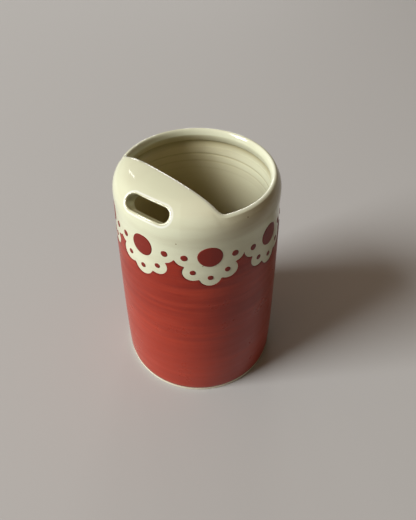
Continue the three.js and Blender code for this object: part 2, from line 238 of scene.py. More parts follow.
class Dome:
    """A superellipse turned about Z, on the shoulder. A place on it is its arc from the shoulder."""

    def __init__(self, radius, rise):
        self.radius = radius
        self.rise = rise
        turn = (1 - np.cos(np.linspace(0, np.pi, DOME_SAMPLES))) * np.pi / 4
        power = 2 / DOME_SQUARENESS
        self.radii = radius * np.cos(turn) ** power
        self.heights = SHOULDER_HEIGHT + rise * np.sin(turn) ** power
        steps = np.hypot(np.diff(self.radii), np.diff(self.heights))
        self.arc = np.concatenate([[0], np.cumsum(steps)])

    def at(self, arc):
        return np.interp(arc, self.arc, self.radii), np.interp(arc, self.arc, self.heights)

    def arc_at_radius(self, radius):
        return np.interp(-np.asarray(radius), -self.radii, self.arc)

    def arc_at_height(self, height):
        return np.interp(height, self.heights, self.arc)

    def slope(self, radius, height):
        """The outward normal in the plane of radius and height."""
        across = (radius / self.radius) ** (DOME_SQUARENESS - 1) / self.radius
        along = ((height - SHOULDER_HEIGHT) / self.rise) ** (DOME_SQUARENESS - 1) / self.rise
        size = np.hypot(across, along)
        return across / size, along / size

    def outside(self, radius, height):
        across = (radius / self.radius) ** DOME_SQUARENESS
        along = np.clip((height - SHOULDER_HEIGHT) / self.rise, 0, None) ** DOME_SQUARENESS
        return across + along > 1

    def point(self, azimuth, arc):
        radius, height = self.at(arc)
        return around(radius, azimuth, height)

    def normal(self, azimuth, arc):
        across, along = self.slope(*self.at(arc))
        return around(across, azimuth, along)


OUTER = Dome(SHOULDER_RADIUS, DOME_RISE)
INNER = Dome(INNER_SHOULDER_RADIUS, DOME_RISE - COVER_THICKNESS)
AZIMUTHS = 2 * np.pi * np.arange(COLUMNS) / COLUMNS
SEAM_ARC = OUTER.arc_at_height(SEAM_HEIGHT)
TONGUE_ARC = INNER.arc_at_height(TONGUE_HEIGHT)
TONGUE_RADIUS = (OUTER.at(SEAM_ARC)[0] + INNER.at(INNER.arc_at_height(SEAM_HEIGHT))[0]) / 2


def spiral(azimuth, height, pitch):
    return np.cos(2 * np.pi * height / pitch - azimuth)


def smooth_step(value, start, end):
    share = np.clip((value - start) / (end - start), 0, 1)
    return share**2 * (3 - 2 * share)


def soft_patch(azimuth, side, span):
    """1 at one side of the cup, fading over a span in radians."""
    return np.exp(-2 * (1 - np.cos(azimuth - side)) / span**2)


def warm_shade_inside(azimuth, height):
    return soft_patch(azimuth, WARM_SHADE_SIDE, WARM_SHADE_SPAN) * smooth_step(height, WARM_SHADE_START, WARM_SHADE_FULL)


def outside_radius(azimuth, height):
    """The clay's outside with its faint ripple, up to the shoulder."""
    swell = GROUND_SWELL + RIPPLE_DEPTH * spiral(azimuth, height, RIPPLE_PITCH)
    fade = smooth_step(height, SHOULDER_HEIGHT, SHOULDER_HEIGHT - GROUND_FADE)
    return wall_radius(height) + swell * fade


def curve_shares(start, steps):
    """Shares along a curve, shaped to go with its start, which is one point or many."""
    return shares_of(steps).reshape(-1, *[1] * np.ndim(start))


def bezier(start, pull, end, steps):
    """Points along a quadratic curve, after its start and with its end."""
    share = curve_shares(start, steps)
    return (1 - share) ** 2 * start + 2 * share * (1 - share) * pull + share**2 * end


def long_bezier(start, first, second, end, steps):
    """Points along a cubic curve, after its start and with its end."""
    share = curve_shares(start, steps)
    rest = 1 - share
    return rest**3 * start + 3 * rest**2 * share * first + 3 * rest * share**2 * second + share**3 * end


def pressed(distance, reach):
    """A pressed line's profile: 0 where it starts, 1 at its reach, then fading."""
    return distance / reach * np.exp(1 - distance / reach)


def rounded(corners, radius, steps=4):
    """A line through corners, each drawn in over a radius."""
    line = [np.array(corners[0], float)]
    for before, corner, after in zip(corners, corners[1:], corners[2:]):
        corner = np.array(corner, float)
        back = np.array(before, float) - corner
        on = np.array(after, float) - corner
        start = corner + back / np.hypot(*back) * radius
        line.append(start)
        line.extend(bezier(start, corner, corner + on / np.hypot(*on) * radius, steps))
    line.append(np.array(corners[-1], float))
    return np.array(line)


# Meshes

def add_object(name, data):
    made = bpy.data.objects.new(name, data)
    bpy.context.scene.collection.objects.link(made)
    return made


def make_piece(name, points, faces, traits, material, nodes):
    """A smooth closed piece in the cup's frame, with each point's traits, which its material reads."""
    mesh = bpy.data.meshes.new(name)
    mesh.from_pydata((np.asarray(points) * MM).tolist(), [], faces)
    for label, values in traits.items():
        layer = mesh.attributes.new(label, "FLOAT", "POINT")
        layer.data.foreach_set("value", np.asarray(values, np.float32))
    work = bmesh.new()
    work.from_mesh(mesh)
    bmesh.ops.remove_doubles(work, verts=work.verts, dist=WELD)
    bmesh.ops.recalc_face_normals(work, faces=work.faces)
    work.to_mesh(mesh)
    work.free()
    mesh.shade_smooth()
    mesh.set_sharp_from_angle(angle=SHARP_TURN)
    mesh.materials.append(material)
    piece = add_object(name, mesh)
    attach(piece, BODY)
    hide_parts(*nodes)


def grid_faces(columns, rows, closed):
    """Quads of columns that close round the axis, with points numbered down each column."""
    faces = []
    for column in range(columns):
        here = column * rows
        beside = (column + 1) % columns * rows
        for row in range(rows if closed else rows - 1):
            on = (row + 1) % rows
            faces.append((here + row, beside + row, beside + on, here + on))
    return faces


def blank_traits(shape):
    return {name: np.zeros(shape) for name in GLAZE_TRAITS}


# Thrown body

def foot_line():
    foot = BASE_RADIUS - FOOT_BEVEL_WIDTH
    recess = foot - FOOT_RING_WIDTH
    outside = BASE_RADIUS + GROUND_SWELL
    corners = [
        (recess / 2, FOOT_RECESS),
        (recess - FOOT_RECESS, FOOT_RECESS),
        (recess, 0),
        (foot, 0),
        (outside - FOOT_EDGE_WIDTH, 0),
        (outside, FOOT_EDGE_HEIGHT),
        (outside, FOOT_BEVEL_HEIGHT),
    ]
    return rounded(corners, FOOT_EDGE_WIDTH / 2)


def inside_line():
    """The inside from the seam's tongue down the wall, round the corner and in across the floor."""
    floor_top = FOOT_RECESS + FLOOR_THICKNESS
    corner_top = floor_top + FLOOR_CORNER_RADIUS
    corner_middle = float(wall_radius(corner_top)) - WALL_THICKNESS - FLOOR_CORNER_RADIUS
    dome = pairs(*INNER.at(np.linspace(TONGUE_ARC, 0, TONGUE_ROWS + 1)[:-1]))
    rings_end = SHOULDER_HEIGHT - 2 * RING_FADE
    ring_heights = np.linspace(SHOULDER_HEIGHT, rings_end, RING_ROWS)
    heights = np.append(ring_heights, np.linspace(rings_end, corner_top, WALL_ROWS)[1:])
    wall = pairs(wall_radius(heights) - WALL_THICKNESS, heights)
    turns = shares_of(CORNER_ROWS) * np.pi / 2
    corner_radii = corner_middle + FLOOR_CORNER_RADIUS * np.cos(turns)
    corner = pairs(corner_radii, corner_top - FLOOR_CORNER_RADIUS * np.sin(turns))
    floor = pairs(corner_middle * np.linspace(1, 0, FLOOR_ROWS + 1)[1:-1], floor_top)
    return np.concatenate([dome, wall, corner, floor])


def body_lines():
    """The body's profile from under the foot, up the outside, over the tongue and down the inside."""
    heights = np.linspace(FOOT_BEVEL_HEIGHT, SHOULDER_HEIGHT, WALL_ROWS)[1:]
    return {
        "foot": foot_line(),
        "wall": pairs(wall_radius(heights), heights),
        "shoulder": pairs(*OUTER.at(SEAM_ARC * shares_of(SHOULDER_ROWS))),
        "tongue": pairs(TONGUE_RADIUS, (SEAM_HEIGHT, TONGUE_HEIGHT)),
        "inside": inside_line(),
    }


def thrown_body(material):
    lines = body_lines()
    line = np.concatenate(list(lines.values()))
    rows = len(line)
    foot_rows = slice(0, len(lines["foot"]))
    wall_rows = slice(foot_rows.stop, foot_rows.stop + len(lines["wall"]))
    inside_rows = slice(rows - len(lines["inside"]), rows)

    azimuth = AZIMUTHS[:, None]
    radius = np.tile(line[:, 0], (COLUMNS, 1))
    height = np.tile(line[:, 1], (COLUMNS, 1))
    radius[:, wall_rows] = outside_radius(azimuth, height[:, wall_rows])
    inside_height = height[:, inside_rows]
    below = TONGUE_HEIGHT - inside_height
    fade = np.clip(below / RING_PITCH, 0, 1) * np.exp(-((below / RING_FADE) ** 2))
    ring = fade * ((1 + spiral(azimuth, inside_height, RING_PITCH)) / 2) ** RING_SHARPNESS
    radius[:, inside_rows] += RING_DEPTH * ring * (line[inside_rows, 0] / INNER_SHOULDER_RADIUS) ** 2

    points = around(radius, azimuth, height).reshape(-1, 3)
    under_pole = len(points)
    floor_pole = under_pole + 1
    points = np.concatenate([points, [(0, 0, line[0, 1]), (0, 0, line[-1, 1])]])
    faces = grid_faces(COLUMNS, rows, closed=False)
    for column in range(COLUMNS):
        here = column * rows
        beside = (column + 1) % COLUMNS * rows
        faces.append((here, under_pole, beside))
        faces.append((here + rows - 1, beside + rows - 1, floor_pole))

    glaze = blank_traits((COLUMNS, rows))
    glaze["bare"][:, foot_rows] = 1
    # glaze gathered in the throwing rings
    glaze["pool_and_shade"][:, inside_rows] = ring
    # painted shade, darker deeper inside the cup
    glaze["deep"][:, inside_rows] = smooth_step(inside_height, DEEP_SHADE_START, DEEP_SHADE_END)
    # painted warm shade inside, on the side away from the light
    glaze["warm"][:, inside_rows] = warm_shade_inside(azimuth, inside_height)
    at_poles = {"bare": (1, 0), "deep": (0, 1)}
    traits = {name: np.append(values, at_poles.get(name, (0, 0))) for name, values in glaze.items()}
    make_piece("clay_body", points, faces, traits, material, ["thrown_body"])


# Slot in the domed top

class SlotPatch:
    """The window of a dome's grid that the slot takes up, with its border in order round the slot."""

    def __init__(self, rows, outline_arc):
        azimuth, arc = rows
        middle_arc = (outline_arc.min() + outline_arc.max()) / 2
        first = int(np.argmin(np.abs((arc[:-SLOT_ROWS, 0] + arc[SLOT_ROWS:, 0]) / 2 - middle_arc)))
        low = range(-SLOT_COLUMNS, SLOT_COLUMNS)
        side = range(first, first + SLOT_ROWS)
        down_side = [row + 1 for row in reversed(side)]
        upward = arc[first + SLOT_ROWS, 0] > arc[first, 0]
        bottom, top = (first, first + SLOT_ROWS) if upward else (first + SLOT_ROWS, first)
        rising, falling = (side, down_side) if upward else (down_side, side)
        self.border = [(bottom, column) for column in low]
        self.border += [(row, SLOT_COLUMNS) for row in rising]
        self.border += [(top, -column) for column in low]
        self.border += [(row, -SLOT_COLUMNS) for row in falling]
        self.rows = set(side)
        places = tuple(np.transpose(self.border))
        self.azimuth = (azimuth[places] + np.pi) % (2 * np.pi) - np.pi
        self.arc = arc[places]

    def numbers(self, rows, first_row):
        """Numbers of the border's points, in columns of so many rows with the dome's from first_row."""
        return [column % COLUMNS * rows + first_row + row for row, column in self.border]

    def rings_to(self, dome, edge):
        """Rings of points on a dome, between the border and an edge."""
        rings = []
        for share in shares_of(SLOT_RINGS)[:-1]:
            azimuth = self.azimuth + (edge[0] - self.azimuth) * share
            rings.append(dome.point(azimuth, self.arc + (edge[1] - self.arc) * share))
        return rings


def slot_outline():
    """Middle and direction of each point round the slot, in the order of a patch's border."""
    reach = (SLOT_LENGTH - SLOT_TRIM - SLOT_WIDTH) / 2
    arc = np.pi / 4 * SLOT_WIDTH / 2
    along = np.linspace(0, 2 * (reach + arc), 2 * SLOT_COLUMNS, endpoint=False)
    middle = np.clip(along - arc - reach, -reach, reach)
    lean = np.clip(arc - along, 0, None) - np.clip(along - arc - 2 * reach, 0, None)
    side_turn = -np.pi / 2 - lean / (SLOT_WIDTH / 2)
    end_turn = np.linspace(-np.pi / 4, np.pi / 4, SLOT_ROWS, endpoint=False)
    ends = np.full(SLOT_ROWS, reach)
    middles = np.concatenate([middle, ends, -middle, -ends])
    turns = np.concatenate([side_turn, end_turn, side_turn + np.pi, end_turn + np.pi])
    return middles, turns


class Slot:
    """A straight stadium, cut through the clay at the shoulder, with an uneven outside rounding."""

    def __init__(self):
        self.middle = np.array(OUTER.at(OUTER.arc_at_radius(SLOT_RADIUS)))
        self.axis = np.array(OUTER.slope(*self.middle))
        self.way = np.array((0, -self.axis[0], self.axis[1]))
        self.middles, self.turns = slot_outline()
        along = (self.middles + SLOT_WIDTH / 2 * np.cos(self.turns)) / (SLOT_LENGTH / 2)
        share = SLOT_ROUND_MIDDLE + SLOT_ROUND_RIGHT * along + SLOT_ROUND_TOP * np.sin(self.turns)
        most = SLOT_ROUNDING - SLOT_LEAST_ROUNDING
        self.rounding = SLOT_LEAST_ROUNDING + most * smooth_step(share, 0, 1)
        self.depth = self.rounding + SLOT_WORN_DEPTH * smooth_step(-along, 0, 1)

    def outline(self, dome, grow):
        """Azimuth and arc of the outline on a dome, grown outwards."""
        reach = SLOT_WIDTH / 2 + grow
        along = SLOT_SLIDE + self.middles + reach * np.cos(self.turns)
        up = reach * np.sin(self.turns)
        near = np.full(len(along), -DOME_RISE / 2)
        far = np.full(len(along), DOME_RISE / 2)
        for _ in range(HALVINGS):
            out = (near + far) / 2
            leaned = up - SLOT_LEAN * out
            radius = self.middle[0] - leaned * self.axis[1] + out * self.axis[0]
            height = self.middle[1] + leaned * self.axis[0] + out * self.axis[1]
            beyond = dome.outside(np.hypot(along, radius), height)
            near = np.where(beyond, near, out)
            far = np.where(beyond, out, far)
        return np.arctan2(along, radius), dome.arc_at_height(height)


def meet(start, normal, foot, way):
    """Where the line from a foot along a way meets the plane through start."""
    far = np.sum((start - foot) * normal, axis=-1) / np.sum(way * normal, axis=-1)
    return foot + way * far[..., None]


def slot_lining(slot, outer_rows, inner_rows):
    """The patches outside and inside, rings of points between their borders, and each ring's traits."""
    fade_edge = slot.outline(OUTER, slot.rounding + SLOT_PALE_LINE + SLOT_PALE_FADE)
    line_edge = slot.outline(OUTER, slot.rounding + SLOT_PALE_LINE)
    outer_edge = slot.outline(OUTER, slot.rounding)
    inner_edge = slot.outline(INNER, SLOT_BURR_WIDTH)
    outer_patch = SlotPatch(outer_rows, fade_edge[1])
    inner_patch = SlotPatch(inner_rows, inner_edge[1])

    outer_start = OUTER.point(*outer_edge)
    outer_wall = OUTER.point(*slot.outline(OUTER, 0)) - slot.way * slot.depth[:, None]
    outer_pull = meet(outer_start, OUTER.normal(*outer_edge), outer_wall, slot.way)
    inner_wall = INNER.point(*slot.outline(INNER, 0)) - slot.way * (SLOT_BURR - SLOT_INSIDE_ROUNDING)
    inner_pull = inner_wall - slot.way * 2 * SLOT_INSIDE_ROUNDING
    pale_line = [OUTER.point(*fade_edge), OUTER.point(*line_edge), outer_start]
    wall_shares = shares_of(FACE_ROWS)

    outside = outer_patch.rings_to(OUTER, fade_edge) + pale_line
    turn_in = bezier(outer_start, outer_pull, outer_wall, LIP_ROWS)
    wall = [outer_wall + (inner_wall - outer_wall) * share for share in wall_shares]
    turn_out = bezier(inner_wall, inner_pull, INNER.point(*inner_edge), LIP_ROWS)
    inside = inner_patch.rings_to(INNER, inner_edge)[::-1]
    rings = [*outside, *turn_in, *wall, *turn_out, *inside]

    turn_start = len(outside)
    wall_start = turn_start + len(turn_in)
    wall_end = wall_start + len(wall)
    traits = blank_traits(len(rings))
    # thin glaze with a painted highlight along the pale line round the slot
    traits["thin"][turn_start - len(pale_line) : turn_start] = SLOT_PALE
    # the slot's rounding drawn darker
    traits["pool_and_shade"][turn_start:wall_start] = SLOT_DARKENING
    # painted shade down the slot's wall and on the inside beyond it
    traits["deep"][wall_start:wall_end] = wall_shares
    traits["deep"][wall_end:] = 1
    return outer_patch, inner_patch, rings, traits


def cut_slot(sections, first_inside, outer_patch, inner_patch, rings):
    """Points and quads of the sections with the slot cut through them and lined with its rings."""
    rows = len(sections)
    points = sections.transpose(1, 0, 2).reshape(-1, 3)
    cut_rows = outer_patch.rows | {first_inside + row for row in inner_patch.rows}
    cut_columns = {column % COLUMNS for column in range(-SLOT_COLUMNS, SLOT_COLUMNS)}
    faces = [
        quad for quad in grid_faces(COLUMNS, rows, closed=True)
        if not (quad[0] // rows in cut_columns and quad[0] % rows in cut_rows)
    ]
    count = len(outer_patch.border)
    loops = [outer_patch.numbers(rows, 0)]
    for number in range(len(rings)):
        first = len(points) + number * count
        loops.append(range(first, first + count))
    loops.append(inner_patch.numbers(rows, first_inside))
    for here, on in zip(loops, loops[1:]):
        for step in range(count):
            beside = (step + 1) % count
            faces.append((here[step], here[beside], on[beside], on[step]))
    return np.concatenate([points, *rings]), faces


# Domed top with lip and sip cover

def mouth_edge(azimuth):
    """How far the cut face stands from the axis: the round mouth, or the cover's straight edge."""
    least_facing = 0.2  # turned further away, the straight edge is out of reach
    facing = np.cos(azimuth - COVER_TURN)
    chord = COVER_EDGE / np.clip(facing, least_facing, None)
    chord = np.where(facing > least_facing, chord, 2 * MOUTH_RADIUS)
    share = np.clip(COVER_CORNER_BLEND - np.abs(chord - MOUTH_RADIUS), 0, None) / COVER_CORNER_BLEND
    return np.minimum(chord, MOUTH_RADIUS) - share**2 * COVER_CORNER_BLEND / 4


def edge_frame():
    """The mouth's edge in plan, and which way the clay lies from it."""
    step = 1e-3
    turns = AZIMUTHS + np.array([[-step], [0], [step]])
    behind, edge, ahead = around(mouth_edge(turns), turns, 0)
    along = ahead - behind
    clay = np.stack([along[:, 1], -along[:, 0], np.zeros(COLUMNS)], -1)
    clay /= np.linalg.norm(clay, axis=1)[:, None]
    return edge, clay * np.sign(np.sum(clay * edge, axis=1))[:, None]


def lip_start(dome, edge, clay, rounding):
    """Where a rounded edge leaves a dome: its azimuth and arc, nearest the column's own turn."""
    place = edge + clay * rounding
    azimuth = np.arctan2(place[:, 0], -place[:, 1])
    azimuth = AZIMUTHS + (azimuth - AZIMUTHS + np.pi) % (2 * np.pi) - np.pi
    return azimuth, dome.arc_at_radius(np.hypot(place[:, 0], place[:, 1]))


def dome_rows(start, end):
    """Rows of azimuth and arc from one line round a dome to another."""
    share = np.arange(DOME_ROWS + 1)[:, None] / DOME_ROWS
    azimuth = start[0] + (end[0] - start[0]) * share
    arc = start[1] + (end[1] - start[1]) * share
    return azimuth, arc


def lip_rows(edge, clay, top, under, band):
    """The lip's crest, face and underside, from the outside's end to the inside's start. The crest is a
    nose where band is 0 and a slope where it is 1."""
    nose_pull = 2 / 3  # of the way to the corner, which makes the nose a quadratic curve
    up = np.array((0, 0, 1.0))
    edge_radius = np.hypot(edge[:, 0], edge[:, 1])
    top_corner = edge + up * OUTER.at(OUTER.arc_at_radius(edge_radius))[1][:, None]
    under_corner = edge + up * INNER.at(INNER.arc_at_radius(edge_radius))[1][:, None]
    face_top = top_corner + (under_corner - top_corner) * LIP_TOP_SHARE
    face_bottom = under_corner + (top_corner - under_corner) * LIP_UNDER_SHARE
    band_top = top - clay * LIP_BAND_TOP[0] + up * LIP_BAND_TOP[1]
    band_slope = face_top + clay * LIP_BAND_SLOPE[0] + up * LIP_BAND_SLOPE[1]
    nose_top = top + (top_corner - top) * nose_pull
    nose_slope = face_top + (top_corner - face_top) * nose_pull
    first_pull = nose_top + (band_top - nose_top) * band[:, None]
    second_pull = nose_slope + (band_slope - nose_slope) * band[:, None]
    crest = long_bezier(top, first_pull, second_pull, face_top, CREST_ROWS)
    face = face_top + (face_bottom - face_top) * curve_shares(face_top, FACE_ROWS)
    underside = bezier(face_bottom, under_corner, under, LIP_ROWS)[:-1]
    return crest, face, underside


def domed_top(material):
    edge, clay = edge_frame()
    top_start = lip_start(OUTER, edge, clay, LIP_TOP_ROUNDING)
    under_end = lip_start(INNER, edge, clay, LIP_UNDER_ROUNDING)
    outer_rows = dome_rows((AZIMUTHS, SEAM_ARC), top_start)
    inner_rows = dome_rows(under_end, (AZIMUTHS, TONGUE_ARC))
    edge_radius = np.hypot(edge[:, 0], edge[:, 1])
    round_lip = smooth_step(edge_radius, MOUTH_RADIUS - LIP_TOP_ROUNDING, MOUTH_RADIUS)
    band = round_lip * (1 + np.cos(AZIMUTHS - LIP_BAND_SIDE)) / 2
    collar = round_lip * pressed(top_start[1] - outer_rows[1], LIP_COLLAR_REACH)
    groove = round_lip * pressed(under_end[1] - inner_rows[1], LIP_GROOVE_REACH)
    outside = OUTER.point(*outer_rows) - LIP_COLLAR_DEPTH * collar[..., None] * OUTER.normal(*outer_rows)
    inside = INNER.point(*inner_rows) + LIP_GROOVE_DEPTH * groove[..., None] * INNER.normal(*inner_rows)
    crest, face, underside = lip_rows(edge, clay, outside[-1], inside[0], band)
    rebate = around(TONGUE_RADIUS, AZIMUTHS, np.array([[TONGUE_HEIGHT], [SEAM_HEIGHT]]))
    sections = np.concatenate([outside, crest, face, underside, inside, rebate])

    crest_start = len(outside)
    crest_end = crest_start + len(crest)
    inside_end = len(sections) - len(rebate)
    inside_start = inside_end - len(inside)
    lip_pale = LIP_PALE * (1 - band)
    crest_pale = lip_pale + (COVER_PALE - lip_pale) * (1 - round_lip)
    crest_line = np.sin(np.pi * shares_of(CREST_ROWS)) ** PALE_SHARPNESS
    # painted shade on the shoulder's side away from the light
    shade_patch = soft_patch(outer_rows[0], SHADE_SIDE, SHADE_SPAN)
    under_crest = sections[crest_end:inside_end]
    turned = np.arctan2(under_crest[..., 0], -under_crest[..., 1])
    glaze = blank_traits((COLUMNS, len(sections)))
    # thin glaze with a painted highlight along the lip's crest and the cover's edge
    glaze["thin"][:, crest_start:crest_end] = crest_pale[:, None] * crest_line
    # painted shade in the groove below the lip
    glaze["pool_and_shade"][:, inside_start:inside_end] = groove.T
    glaze["side_shade"][:, :crest_start] = (shade_patch * smooth_step(outside[..., 2], SEAM_HEIGHT, SHADE_FULL)).T
    # painted warm shade under the lip, on the side away from the light
    glaze["warm"][:, crest_end:inside_end] = warm_shade_inside(turned, under_crest[..., 2]).T

    outer_patch, inner_patch, rings, ring_traits = slot_lining(Slot(), outer_rows, inner_rows)
    points, faces = cut_slot(sections, inside_start, outer_patch, inner_patch, rings)
    traits = {}
    for name, values in glaze.items():
        traits[name] = np.append(values, np.repeat(ring_traits[name], len(outer_patch.border)))
    make_piece("domed_top", points, faces, traits, material, ["sip_cover"])


# Lace edge of the red slip, on the wall unrolled flat

LACE_RADIUS = float(wall_radius(BIG_EYELET_HEIGHT - SIDE_PETAL_DROP))


def repeat_azimuth(repeat):
    return LACE_TURN + repeat * REPEAT_TURN + LACE_SHIFTS[repeat]


def eyelet_height(eyelet, azimuth):
    return BIG_EYELET_HEIGHT + LACE_TILT * math.cos(azimuth) - eyelet["drop"]


def scallop_discs():
    """The discs that the lace's lobes follow, in order round the cup."""
    chance = random.Random(SCALLOP_SEED)
    discs = []
    for repeat in range(LACE_REPEATS):
        azimuth = repeat_azimuth(repeat)
        for eyelet in SCALLOPED:
            aside, higher, wider = (chance.uniform(-1, 1) * SCALLOP_WOBBLE for _ in range(3))
            along = (azimuth + eyelet["turn"]) * LACE_RADIUS + aside
            height = eyelet_height(eyelet, azimuth) + higher
            discs.append((np.array((along, height)), SCALLOP_RADIUS + wider))
    return discs


def lower_crossing(first, second):
    """Where two neighbouring discs cross on the side of the coat."""
    (start, radius), (end, other) = first, second
    span = np.hypot(*(end - start))
    along = (span**2 + radius**2 - other**2) / (2 * span)
    way = (end - start) / span
    across = np.array((way[1], -way[0]))
    return start + way * along + across * math.sqrt(radius**2 - along**2)


def lace_edge():
    """The coat's scalloped edge from cusp to cusp, and the step that leads once round the cup."""
    discs = scallop_discs()
    once_round = np.array((2 * np.pi * LACE_RADIUS, 0))
    last_before = (discs[-1][0] - once_round, discs[-1][1])
    cusp = lower_crossing(last_before, discs[0])
    edge = []
    for number, (middle, radius) in enumerate(discs):
        after = discs[(number + 1) % len(discs)]
        if number == len(discs) - 1:
            after = (after[0] + once_round, after[1])
        end = lower_crossing((middle, radius), after)
        start_turn = math.atan2(*(cusp - middle)[::-1])
        end_turn = math.atan2(*(end - middle)[::-1])
        sweep = (end_turn - start_turn) % (2 * np.pi)
        steps = max(2, round(radius * sweep / LACE_STEP))
        turns = start_turn + sweep * np.arange(steps) / steps
        edge.extend(middle + radius * pairs(np.cos(turns), np.sin(turns)))
        cusp = end
    edge = np.array(edge)
    for _ in range(LACE_SOFTENING):
        before = np.concatenate([edge[-1:] - once_round, edge[:-1]])
        after = np.concatenate([edge[1:], edge[:1] + once_round])
        edge = (before + 2 * edge + after) / 4
    return edge, once_round


def inside_outline(places, outline):
    """Which places lie inside a closed outline, by counting crossings."""
    inside = np.zeros(len(places), bool)
    for (x0, y0), (x1, y1) in zip(outline, np.roll(outline, -1, axis=0)):
        if y0 == y1:
            continue
        spans = (places[:, 1] > y0) != (places[:, 1] > y1)
        inside ^= spans & (places[:, 0] < x0 + (places[:, 1] - y0) * (x1 - x0) / (y1 - y0))
    return inside


def nearest(places, others):
    """The distance from each place to the nearest of others."""
    return np.array([np.sqrt(np.min(np.sum((others - place) ** 2, axis=1))) for place in places])


def coat_outline(edge, end, columns):
    """The lace, down its end, back along the bottom and up to its start."""
    start = edge[0]
    side = np.arange(start[1] - LACE_GRID, LACE_BOTTOM + LACE_GRID / 2, -LACE_GRID)
    bottom = pairs(np.linspace(end[0], start[0], columns + 1), LACE_BOTTOM)
    return np.concatenate([edge, [end], pairs(end[0], side), bottom, pairs(start[0], side[::-1])])


def lace_grid(edge, end):
    """Places in staggered rows that fill the coat up to the slip's rounded edge."""
    along = np.arange(edge[0, 0] + LACE_GRID / 2, end[0], LACE_GRID)
    up = np.arange(LACE_BOTTOM + LACE_GRID, edge[:, 1].max(), LACE_GRID * LACE_ROW_SHARE)
    grid = np.array([(x + (row % 2) * LACE_GRID / 2, y) for row, y in enumerate(up) for x in along])
    grid = grid[grid[:, 0] < end[0] - LACE_GRID / 2]
    return grid[nearest(grid, edge) > SLIP_EDGE + LACE_GRID / 2]


def lace_rims(edge):
    """Lines of places along the lace, where the slip rounds over."""
    tangent = np.roll(edge, -1, axis=0) - np.roll(edge, 1, axis=0)
    tangent[0] = edge[1] - edge[0]
    tangent[-1] = edge[-1] - edge[-2]
    inward = pairs(tangent[:, 1], -tangent[:, 0])
    inward /= np.hypot(inward[:, 0], inward[:, 1])[:, None]
    rims = []
    for share in RIM_SHARES:
        depth = share * SLIP_EDGE
        rim = edge + inward * depth
        rims.append(rim[nearest(rim, edge) > RIM_CLEAR * depth])
    return np.concatenate(rims)


def lace_mesh():
    """The coat above its plain grid: places, triangles, each place's distance from the edge, the count
    of columns along the bottom and where they start."""
    edge, once_round = lace_edge()
    start = edge[0, 0]
    end = edge[0] + once_round
    columns = round(once_round[0] / LACE_GRID)
    outline = coat_outline(edge, end, columns)
    inner = np.concatenate([lace_grid(edge, end), lace_rims(edge)])
    margin = LACE_STEP / 2
    inner = inner[(inner[:, 0] > start + margin) & (inner[:, 0] < end[0] - margin)]
    inner = inner[inside_outline(inner, outline)]
    places = [Vector(place) for place in np.concatenate([outline, inner])]
    only_inside = 1
    made = delaunay_2d_cdt(places, [], [list(range(len(outline)))], only_inside, LACE_MERGE)
    places = np.array([tuple(place) for place in made[0]])
    depth = nearest(places, np.concatenate([edge, [end]]))
    depth[depth < LACE_RIM] = 0
    triangles = [tuple(face) for face in made[2] if any(depth[index] > 0 for index in face)]
    return places, triangles, depth, columns, start


# Coat and dots of red slip

def on_wall(azimuth, height, lift):
    return around(outside_radius(azimuth, height) + lift, azimuth, height)


def slip_lift(depth):
    """The slip's height above the clay, by the distance in from its edge."""
    rest = 1 - np.clip(depth / SLIP_EDGE, 0, 1)
    return SLIP_LIFT * np.sqrt(1 - rest**2)


def red_coat(material):
    places, triangles, depth, columns, start = lace_mesh()
    heights = np.linspace(LACE_BOTTOM, SLIP_BOTTOM, COAT_ROWS + 1)
    along = start + 2 * np.pi * LACE_RADIUS * np.arange(columns) / columns
    grid = np.stack(np.meshgrid(along, heights, indexing="ij"), -1).reshape(-1, 2)
    grid_depth = np.minimum(grid[:, 1] - SLIP_BOTTOM, nearest(grid, places[depth == 0]))
    quads = np.array(grid_faces(columns, COAT_ROWS + 1, closed=False)) + len(places)
    faces = triangles + quads.tolist()
    places = np.concatenate([places, grid])
    depth = np.concatenate([depth, grid_depth])
    azimuth = places[:, 0] / LACE_RADIUS

    front = on_wall(azimuth, places[:, 1], slip_lift(depth))
    back = on_wall(azimuth, places[:, 1], -SLIP_SINK)
    numbers = np.arange(len(places))
    on_back = np.where(depth == 0, numbers, numbers + len(places)).tolist()
    faces += [[on_back[index] for index in reversed(face)] for face in faces]
    points = np.concatenate([front, back])
    traits = {"edge": np.tile(np.exp(-depth / SLIP_EDGE), 2), "middle": np.zeros(len(points))}
    make_piece("red_coat", points, faces, traits, material, ["red_slip_coat"])


def dot_outline(turns, radius, chance):
    wobble = 0
    for waves in DOT_WOBBLE_WAVES:
        size = chance.uniform(0, DOT_WOBBLE) / waves
        wobble = wobble + size * np.cos(waves * turns + chance.uniform(0, 2 * np.pi))
    return radius * (1 + wobble)


